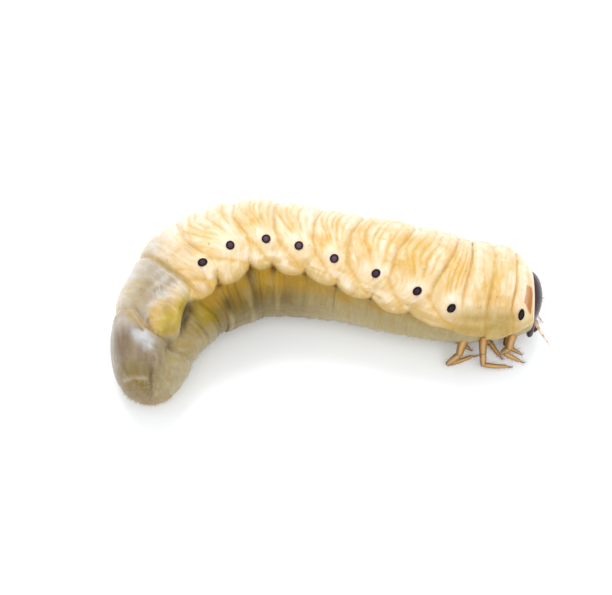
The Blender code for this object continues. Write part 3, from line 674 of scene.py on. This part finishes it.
# The spiracles, the breathing holes: small oval horny plates with a raised rim, a sunken sieve round
# it and a boss in the middle, nine on each side. One is cut from a short drum and copied to each
# place, where it follows the skin. Those under the left flank are pressed flat.
bpy.ops.object.select_all(action="DESELECT")
bpy.ops.mesh.primitive_cylinder_add(vertices=28, radius=1, depth=0.6, location=(0, 0, -0.3))
pattern = new_piece("spiracle_pattern")
bpy.ops.object.mode_set(mode="EDIT")
bpy.ops.mesh.select_all(action="DESELECT")
bpy.ops.object.mode_set(mode="OBJECT")
for face in pattern.data.polygons:
    face.select = face.normal.z > 0.9
bpy.ops.object.mode_set(mode="EDIT")
bpy.ops.mesh.select_mode(type="FACE")
for inset, lift in ((0.1, 0.16), (0.14, 0), (0.06, -0.14), (0.26, 0), (0.06, 0.1), (0.14, 0.03)):
    bpy.ops.mesh.inset(thickness=inset)
    bpy.ops.transform.translate(value=(0, 0, lift))
bpy.ops.object.mode_set(mode="OBJECT")
plate_shape = points_of(pattern)
horn_black, shader = new_material("spiracle_horn", {"Roughness": 0.42, "Specular IOR Level": 0.15})
join(reads(horn_black, "ring_tint"), "Color", shader, "Base Color")
RIM, SIEVE = np.array(((0.012, 0.005, 0.008), (0.1, 0.05, 0.075)))
plate_tint = painted(RIM, (SIEVE, ramp(0.72, 0.62, np.hypot(plate_shape[:, 0], plate_shape[:, 1]))))
PLATE_THIN, PLATE_PROUD = 0.35, 0.025
PLATE_LEANS, FRONT_PLATE_LEANS = -24, 4  # degrees
PLATES = (
    # the ring it is in, half its length and height in mm, and its light: the front ones are blackest
    ("prothorax", 0.27, 0.52, 0.25), ("abdomen_1", 0.33, 0.44, 0.25), ("abdomen_2", 0.35, 0.43, 0.3),
    ("abdomen_3", 0.36, 0.42, 0.5), ("abdomen_4", 0.38, 0.4, 1), ("abdomen_5", 0.38, 0.4, 1),
    ("abdomen_6", 0.38, 0.4, 1), ("abdomen_7", 0.38, 0.4, 0.7), ("abdomen_8", 0.43, 0.35, 0.5),
)
for (name, long, high, light), (place, place_angle) in zip(PLATES, SPIRACLE_PLACES):
    for side in ("right", "left"):
        angle = np.array((place_angle if side == "right" else 360 - place_angle,))
        t = np.array((place,))
        height, _ = skin_marks(t, angle)
        centre, out = (part[0] for part in skin_at(t, angle, height))
        tailwards = skin_at(t + 0.05, angle, height)[0][0] - centre
        tailwards = unit(tailwards - out * (tailwards @ out))
        upwards = np.cross(out, tailwards)
        tip = math.radians(FRONT_PLATE_LEANS if name == "prothorax" else PLATE_LEANS)
        lengthwise = math.cos(tip) * tailwards + math.sin(tip) * upwards
        across = math.cos(tip) * upwards - math.sin(tip) * tailwards
        spots = centre + plate_shape[:, :1] * long * lengthwise + plate_shape[:, 1:2] * high * across
        spots = spots + (plate_shape[:, 2:] * PLATE_THIN + PLATE_PROUD) * out
        mesh = pattern.data.copy()
        mesh.vertices.foreach_set("co", (pressed(spots) * MM).ravel())
        keep_values(mesh, "ring_tint", plate_tint * light)
        spiracle = bpy.data.objects.new(f"spiracle_{name}_{side}", mesh)
        bpy.context.scene.collection.objects.link(spiracle)
        close_mesh(spiracle, 1e-7)
        mesh.materials.append(horn_black)
        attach(spiracle, "root")
bpy.data.objects.remove(pattern, do_unlink=True)


# The head capsule: a hard, glossy, nearly black shell set back into the collar of the first ring.
# A fine line runs down its crown and forks round the face, and the face plate bulges below it.
HEAD_HALF = np.array((2.65, 1.5, 2.55))
HEAD_BEHIND, HEAD_SUNK, HEAD_TIP = 0.6, 0.55, math.radians(5)
neck, back, right, tailwards = (part[0] for part in spine(np.zeros(1)))
forwards = -math.cos(HEAD_TIP) * tailwards - math.sin(HEAD_TIP) * back
crown = math.cos(HEAD_TIP) * back - math.sin(HEAD_TIP) * tailwards
head_middle = neck - MIDDLE + HEAD_SUNK * tailwards


def on_head(local):
    """Places given as right, forwards and up from the head's middle in mm, in the model's frame."""
    local = np.asarray(local, float)
    return head_middle + local[..., :1] * right + local[..., 1:2] * forwards + local[..., 2:3] * crown


bpy.ops.object.select_all(action="DESELECT")
bpy.ops.mesh.primitive_grid_add(x_subdivisions=72, y_subdivisions=112, size=2)
head = new_piece("head_capsule")
flat = points_of(head)
from_front, around = (flat[:, 0] + 1) * np.pi / 2, (flat[:, 1] + 1) * np.pi
wide = np.sin(from_front)
ball = np.column_stack((wide * np.cos(around), np.cos(from_front), wide * np.sin(around)))
half = np.broadcast_to(HEAD_HALF, ball.shape).copy()
half[:, 1] = np.where(ball[:, 1] > 0, HEAD_HALF[1], HEAD_BEHIND)
face = ramp(0.1, 0.5, ball[:, 1])
crown_line = np.abs(ball[:, 0]) + 4 * ramp(0.2, 0.1, ball[:, 2])
fork_line = np.abs(ball[:, 2] - 0.12 + 0.95 * np.abs(ball[:, 0])) + 4 * (ball[:, 2] < -0.42)
lines = face * np.maximum(bell(crown_line, 0, 0.02), bell(fork_line, 0, 0.022))
face_plate = face * ramp(-0.48, -0.56, ball[:, 2]) * ramp(0.5, 0.4, np.abs(ball[:, 0]))
local = ball * half * (1 - 0.02 * lines + 0.035 * face_plate)[:, None]
head.data.vertices.foreach_set("co", (on_head(local) * MM).ravel())
HEAD_BLACK, HEAD_RED = np.array(((0.024, 0.009, 0.016), (0.085, 0.022, 0.022)))
reddish = 0.7 * lines + 0.35 * face_plate + 0.25 * ramp(0.75, 0.95, np.hypot(ball[:, 0], ball[:, 2]))
keep_values(head.data, "shell_tint", painted(HEAD_BLACK, (HEAD_RED, reddish)))
close_mesh(head, 1e-7)
shell, shader = new_material("head_shell", {
    "Roughness": 0.3, "Specular IOR Level": 0.2, "Coat Weight": 0.12, "Coat Roughness": 0.12,
})
join(reads(shell, "shell_tint"), "Color", shader, "Base Color")
placed = add_node(shell, "ShaderNodeTexCoord")
pits = add_node(shell, "ShaderNodeTexVoronoi", {"Scale": 3800})
pit_depth = add_node(shell, "ShaderNodeMapRange", {"From Max": 0.35})
pitted = add_node(shell, "ShaderNodeBump", {"Strength": 0.3, "Distance": 0.04 * MM})
join(placed, "Object", pits, "Vector")
join(pits, "Distance", pit_depth, "Value")
join(pit_depth, "Result", pitted, "Height")
join(pitted, "Normal", shader, "Normal")
head.data.materials.append(shell)
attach(head, "root")
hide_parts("head")


# Mouthparts and feelers: a broad upper lip, two stout black jaws, two amber feeding palps with
# rings, and two thin jointed feelers, pale beyond a dark base. Each is a tapering drum drawn out
# along a curve from its socket in the head.
def curve_place(points, shares):
    """Places and directions on a smooth curve from the second point on, for shares from 0 to 1."""
    points = np.asarray(points, float)
    spot = shares * (len(points) - 2)
    index = np.clip(spot.astype(int), 0, len(points) - 3) + 1
    part = (spot - index + 1)[:, None]
    after = np.vstack((points, 2 * points[-1:] - points[-2:-1]))[index + 2]
    before, start, end = points[index - 1], points[index], points[index + 1]
    heading = (
        (6 * part**2 - 6 * part) * (start - end) + (3 * part**2 - 4 * part + 1) * (end - before) / 2
        + (3 * part**2 - 2 * part) * (after - start) / 2
    )
    return smooth_curve(before, start, end, after, part), unit(heading)


def drawn_out(name, points, widths, width_shares, joints=(), sides=20, steps=48, flatten=1.0):
    """A closed drum drawn along a curve of points in mm, with a groove at each joint's share."""
    bpy.ops.object.select_all(action="DESELECT")
    bpy.ops.mesh.primitive_grid_add(x_subdivisions=steps, y_subdivisions=sides, size=2)
    piece = new_piece(name)
    grid = points_of(piece)
    share = (grid[:, 0] + 1) / 2
    turn = (grid[:, 1] + 1) * np.pi
    rounded = np.clip(np.minimum(share, 1 - share) * steps / 2.5, 0, 1)
    width = np.interp(share, width_shares, widths) * np.sqrt(1 - (1 - rounded) ** 2)
    for joint in joints:
        width *= 1 - 0.22 * bell(share, joint, 0.018)
    place, heading = curve_place(points, share)
    across = unit(np.cross(heading, np.array((0.0, 1.0, 0.001))))
    other = np.cross(across, heading)
    rays = np.cos(turn)[:, None] * across + flatten * np.sin(turn)[:, None] * other
    return piece, place + width[:, None] * rays, share, rays


# A painted glow: pale horn laid down the middle of each leg length, as if lit through.
HORN_GLOW = np.array((0.76, 0.58, 0.27))


def finish_limb(piece, spots, share, colours, finish, joints=(), through=None):
    """Sets a limb's places and its colours, which run from the root to the tip.

    Through runs from 0 at the edges of a clear limb to 1 or -1 along its middle: the edges get
    painted shade and the middle a painted glow, as if light shone through the horn.
    """
    piece.data.vertices.foreach_set("co", (pressed(spots) * MM).ravel())
    stops = np.linspace(0, 1, len(colours))
    tint = np.column_stack([np.interp(share, stops, [c[i] for c in colours]) for i in range(3)])
    if through is not None:
        # Painted shade darkens the limb's edges, and a painted glow of pale horn lights its middle.
        tint = painted(tint * (0.25 + 0.65 * through**2)[:, None], (HORN_GLOW, 0.42 * through**12))
    for joint in joints:
        tint *= (1 - 0.55 * bell(share, joint, 0.03))[:, None]
    keep_values(piece.data, "limb_tint", tint)
    close_mesh(piece, 1e-7)
    piece.data.materials.append(finish)
    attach(piece, "root")


def limb_finish(name, roughness, subsurface):
    made, shader = new_material(name, {
        "Roughness": roughness, "Subsurface Weight": subsurface, "Subsurface Scale": 0.3 * MM,
    })
    join(reads(made, "limb_tint"), "Color", shader, "Base Color")
    return made


jaw_horn = limb_finish("jaw_horn", 0.25, 0.0)
amber_horn = limb_finish("amber_horn", 0.3, 0.25)
BLACK, RED_BROWN, AMBER, HONEY, TAN, PALE_TAN, PINK_TAN = np.array((
    (0.012, 0.006, 0.008), (0.11, 0.035, 0.01), (0.5, 0.235, 0.035), (0.58, 0.29, 0.045),
    (0.45, 0.2, 0.022), (0.74, 0.57, 0.4), (0.75, 0.58, 0.52),
))
DARK_PARTS = ("labrum", "mandible")
MOUTH = (
    # name, root on the head, two points beyond it, half widths in mm, thickness, joints, colours
    ("labrum", (0.0, 0.62, -1.3), ((0, 1.35, -2.55), (0, 1.2, -3.15)), (0.85, 0.8, 0.42), 0.34,
     (0.6,), (HEAD_BLACK, HEAD_RED, RED_BROWN)),
    ("mandible", (1.15, 0.5, -1.0), ((1.25, 0.7, -2.85), (0.6, 0.55, -3.25)), (0.46, 0.34, 0.08), 0.8,
     (), (HEAD_BLACK, BLACK, BLACK)),
    ("maxilla", (0.45, 0.5, -1.0), ((0.5, 0.72, -2.9), (0.5, 0.65, -3.45)), (0.3, 0.24, 0.1), 1.0,
     (0.45, 0.66, 0.84), (RED_BROWN, TAN, PALE_TAN)),
    ("antenna", (1.75, 0.9, -1.35), ((2.3, 1.65, -2.4), (2.25, 2.5, -3.45)), (0.19, 0.12, 0.045), 1.0,
     (0.3, 0.52, 0.78), (RED_BROWN, PALE_TAN, PINK_TAN, PINK_TAN)),
)
for name, root, points, widths, thickness, joints, colours in MOUTH:
    root = np.array(root)
    socket = root / np.linalg.norm(root / HEAD_HALF)
    away = unit(socket / HEAD_HALF**2)
    curve = [socket - 0.6 * away, socket - 0.25 * away, *(np.array(point, float) for point in points)]
    for side in (1,) if name == "labrum" else (1, -1):
        full_name = name if name == "labrum" else f"{name}_{'right' if side > 0 else 'left'}"
        piece, spots, share, _ = drawn_out(
            f"{full_name}_piece", curve, widths, (0, 0.5, 1), joints, flatten=thickness
        )
        spots[:, 0] *= side
        finish = jaw_horn if name in DARK_PARTS else amber_horn
        finish_limb(piece, on_head(spots), share, colours, finish, joints)
        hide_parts(full_name)


# The legs: six short jointed legs of translucent amber horn, each with a thick root, a thigh, a
# shin and foot in one, and a small claw. Each length of leg is a drum of its own, pinched at its
# ends, and the lengths of one leg make one piece.
LEGS = (
    # name, ring count and angle of the root, then knee, foot and claw tip in mm
    ("foreleg_right", 0.9, 153, (15.9, -4.45, 1.5), (17.4, -4.9, 0.6), (17.95, -5.0, 0.35)),
    ("midleg_right", 1.8, 153, (14.1, -5.5, 1.1), (16.2, -5.45, 0.55), (16.9, -5.4, 0.3)),
    ("hindleg_right", 2.7, 152, (10.95, -5.35, 0.9), (13.1, -4.55, 0.7), (13.9, -4.3, 0.45)),
    ("foreleg_left", 0.9, 196, (16.3, -3.4, 0.75), (17.4, -4.1, 0.6), (17.8, -4.3, 0.45)),
    ("midleg_left", 1.8, 192, (14.9, -3.2, 0.65), (15.7, -4.4, 0.6), (16.0, -4.75, 0.4)),
    ("hindleg_left", 2.7, 188, (12.0, -2.9, 0.6), (12.9, -3.7, 0.6), (13.3, -3.9, 0.4)),
)
LENGTHS = (
    # for the root, thigh, shin and claw: half widths in mm, the reach into its neighbours, how far
    # along it a dark joint lies, and colours
    ((0.44, 0.4, 0.31), 0.16, (0.92,), (AMBER, AMBER, TAN)),
    ((0.26, 0.32, 0.24), 0.16, (0.92,), (AMBER, TAN, TAN, RED_BROWN)),
    ((0.21, 0.235, 0.15), 0.16, (), (AMBER, HONEY, HONEY, AMBER)),
    ((0.12, 0.08, 0.03), 0.1, (), (AMBER, RED_BROWN, BLACK)),
)
COXA_OUT, COXA_ALONG = 0.72, 0.6  # mm
SAG = 0.06
# Each leg length is painted dark at its edges and pale down its middle, a painted glow of light through
# the clear horn, strongest along this side.
LIGHT_FROM = np.array((0.0, -0.4, 0.9))  # the side along which each length looks clear
leg_joints = {}
for name, t, angle, knee, foot, tip in LEGS:
    skin_spot, out = (part[0] for part in skin_at(np.array((t,)), np.array((float(angle),))))
    knee, foot, tip = (np.array(spot) - MIDDLE for spot in (knee, foot, tip))
    coxa = skin_spot + COXA_OUT * out
    coxa = coxa + COXA_ALONG * unit(knee - coxa)
    ends = [skin_spot - 0.35 * out, coxa, knee, foot, tip]
    leg_joints[name] = ends
    lengths_made = []
    for number, (widths, overlap, joints, colours) in enumerate(LENGTHS):
        start, end = ends[number], ends[number + 1]
        heading = unit(end - start)
        middle = (start + end) / 2 + np.cross(heading, UP) * SAG
        beyond = end if number == 3 else end + overlap * heading
        curve = [start - heading, start - overlap * heading, middle, beyond]
        piece, spots, share, rays = drawn_out(
            f"{name}_{number}", curve, widths, (0, 0.3, 1), sides=18, steps=26
        )
        through = np.clip(rays @ unit(LIGHT_FROM - (LIGHT_FROM @ heading) * heading), -1, 1)
        finish_limb(piece, spots, share, colours, amber_horn, joints, through)
        lengths_made.append(piece)
    pick(*lengths_made)
    bpy.ops.object.join()
    leg = new_piece(f"{name}_piece")
    leg.data.materials.clear()
    leg.data.materials.append(amber_horn)
    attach(leg, "root")
    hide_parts(name)


# Bristles: fine single hairs, sparse on the back and flank, thicker along the belly's edge and
# dense and short round the tail's end, with longer ones on the head and legs. Each is a thin
# three-sided spike with a bend, rooted in what it grows from.
SPIKE_LEVELS = (0.0, 0.35, 0.7, 1.0)
SPIKE_WIDTHS = (1.0, 0.8, 0.5, 0.06)
SPIKE_TURNS = np.radians((0, 120, 240))
CLEAR_OF_FLOOR = 0.02  # mm
BARE_BELOW = 0.25  # mm: no bristles under the flank it lies on
UNWRAP_PATCH = np.array(((-1, -1), (1, -1), (0, 1))) * 0.0015
spike_faces = [(0, 2, 1), (9, 10, 11)]
for level in (0, 3, 6):
    for corner in range(3):
        beyond = (corner + 1) % 3
        spike_faces.append((level + corner, level + beyond, level + 3 + beyond, level + 3 + corner))


def bristles(name, roots, directions, bends, long, wide, unwrap, tone):
    """One piece of many spikes. The unwrap is each root's place on a flat spread of the skin."""
    roots, directions = np.asarray(roots), unit(np.asarray(directions))
    across = unit(np.cross(directions, np.array((0.31, 0.52, 0.79))))
    other = np.cross(directions, across)
    count = len(roots)
    points = np.empty((count, 4, 3, 3))
    for level, (share, width) in enumerate(zip(SPIKE_LEVELS, SPIKE_WIDTHS)):
        middle = roots + long[:, None] * (share * directions + share**2 * bends)
        for corner, turn in enumerate(SPIKE_TURNS):
            ray = math.cos(turn) * across + math.sin(turn) * other
            points[:, level, corner] = middle + wide * width * ray
    points = points.reshape(-1, 3)
    points[:, 2] = np.maximum(points[:, 2], CLEAR_OF_FLOOR)
    firsts = range(0, 12 * count, 12)
    faces = [tuple(first + corner for corner in spike) for first in firsts for spike in spike_faces]
    mesh = bpy.data.meshes.new(name)
    mesh.from_pydata((points * MM).tolist(), [], faces)
    layer = mesh.uv_layers.new(name="OFBake")
    corners = np.empty(len(mesh.loops), int)
    mesh.loops.foreach_get("vertex_index", corners)
    layer.data.foreach_set("uv", (unwrap[corners // 12] + UNWRAP_PATCH[corners % 3]).ravel())
    piece = bpy.data.objects.new(name, mesh)
    bpy.context.scene.collection.objects.link(piece)
    close_mesh(piece, 1e-9)
    mesh.materials.append(tone)
    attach(piece, "root")


pale_bristle, _ = new_material("pale_bristle", {"Base Color": (0.62, 0.42, 0.24, 1), "Roughness": 0.4})
brown_bristle, _ = new_material("brown_bristle", {"Base Color": (0.3, 0.14, 0.05, 1), "Roughness": 0.4})
dice = np.random.default_rng(71)


def skin_bristles(name, t, angle, long, tone, lean=0.5, wide=0.011):
    """Bristles rooted in the skin at ring counts and angles, leaning tailwards."""
    angle = np.mod(angle, 360)
    height, _ = skin_marks(t, angle)
    spot, out = skin_at(t, angle, height)
    ahead, _ = skin_at(np.minimum(t + 0.05, TAIL_END - 0.001), angle, height)
    tailwards = ahead - spot
    tailwards /= np.maximum(np.linalg.norm(tailwards, axis=1, keepdims=True), 1e-9)
    heading = out + lean * tailwards + 0.35 * dice.normal(size=spot.shape)
    bends = 0.3 * tailwards + 0.12 * dice.normal(size=spot.shape)
    keep = spot[:, 2] > BARE_BELOW
    unwrap = np.column_stack((0.05 + 0.9 * t / TAIL_END, 0.05 + 0.9 * angle / 360))
    roots = spot[keep] - 0.05 * out[keep]
    bristles(name, roots, heading[keep], bends[keep], long[keep], wide, unwrap[keep], tone)


count = 900
skin_bristles(
    "back_bristles", dice.uniform(0.9, 11.9, count), dice.uniform(-100, 100, count),
    dice.uniform(0.12, 0.34, count), pale_bristle,
)
count = 260
skin_bristles(
    "belly_bristles", dice.uniform(1.2, 11.9, count),
    180 + dice.choice((-1, 1), count) * dice.uniform(2, 40, count),
    dice.uniform(0.2, 0.5, count), brown_bristle, wide=0.009,
)
count = 1500
skin_bristles(
    "tail_bristles", 12 + 0.995 * dice.uniform(0.5, 0.999, count) ** 0.4, dice.uniform(0, 360, count),
    dice.uniform(0.16, 0.42, count), pale_bristle, lean=0.7, wide=0.009,
)
count = 70
around = dice.uniform(0, 2 * math.pi, count)
reach = np.sqrt(dice.uniform(0.05, 0.8, count))
ball = np.column_stack((reach * np.cos(around), np.sqrt(1 - reach**2), reach * np.sin(around)))
unwrap = np.column_stack((0.01 + 0.02 * reach, 0.5 + 0.4 * ball[:, 2]))
outward = ball / HEAD_HALF
outward = outward[:, :1] * right + outward[:, 1:2] * forwards + outward[:, 2:] * crown
bristles(
    "head_bristles", on_head(ball * HEAD_HALF * 0.99), outward, 0.25 * dice.normal(size=(count, 3)),
    dice.uniform(0.3, 0.7, count), 0.013, unwrap, brown_bristle,
)
LEG_HAIRS, HAIR_ROOTS = 44, (0.3, 0.22, 0.05)  # on each leg, and mm from the middle of its lengths
roots, headings = [], []
for ends in leg_joints.values():
    for number in range(LEG_HAIRS):
        length = 1 + number % 3
        share = dice.uniform(0.1, 0.95)
        start, end = ends[length], ends[length + 1]
        heading = unit(end - start)
        ray = unit(np.cross(heading, dice.normal(size=3)))
        roots.append(start + share * (end - start) + ray * HAIR_ROOTS[length - 1])
        headings.append(ray + 0.8 * heading)
count = len(roots)
unwrap = np.column_stack((np.full(count, 0.12), np.linspace(0.3, 0.7, count)))
bristles(
    "leg_bristles", roots, headings, 0.15 * dice.normal(size=(count, 3)),
    dice.uniform(0.2, 0.45, count), 0.011, unwrap, brown_bristle,
)


# The studio: a plain white floor, a broad soft light behind and above the back, a weaker one in
# front, white light all round, and the camera above the belly's side, looking down on the flank.
bpy.ops.object.select_all(action="DESELECT")
bpy.ops.mesh.primitive_plane_add(size=1.6, location=(0, 0, -0.00002))
floor = new_piece("floor")
white, _ = new_material("white_floor", {
    "Base Color": (0.955, 0.98, 0.995, 1), "Roughness": 0.7, "Specular IOR Level": 0.2,
})
floor.data.materials.append(white)


def soft_light(name, place, power, size):
    lamp = bpy.data.lights.new(name, "AREA")
    lamp.shape = "DISK"
    lamp.size = size
    lamp.energy = power
    obj = bpy.data.objects.new(name, lamp)
    obj.location = place
    obj.rotation_mode = "QUATERNION"
    obj.rotation_quaternion = (-Vector(place)).to_track_quat("-Z", "Y")
    bpy.context.scene.collection.objects.link(obj)


soft_light("back_light", (-0.04, 0.24, 0.4), 0.95, 0.24)
soft_light("front_light", (0.06, -0.2, 0.42), 0.75, 0.36)
sky = bpy.data.worlds.new("white_room")
sky.use_nodes = True
set_inputs(sky.node_tree.nodes["Background"], {"Color": (0.97, 0.98, 1.0, 1), "Strength": 0.92})
bpy.context.scene.world = sky
bpy.context.scene.view_settings.view_transform = "Standard"

AIM = Vector((-2.168, 0.948, 3.09)) * MM
ELEVATION, DISTANCE = math.radians(66), 153 * MM
camera = bpy.data.objects.new("camera", bpy.data.cameras.new("camera"))
camera.data.lens, camera.data.sensor_width = 100, 36
camera.data.clip_start, camera.data.clip_end = 0.005, 5
camera.location = AIM + DISTANCE * Vector((0, -math.cos(ELEVATION), math.sin(ELEVATION)))
camera.rotation_mode = "QUATERNION"
camera.rotation_quaternion = (AIM - camera.location).to_track_quat("-Z", "Y")
bpy.context.scene.collection.objects.link(camera)
bpy.context.scene.camera = camera
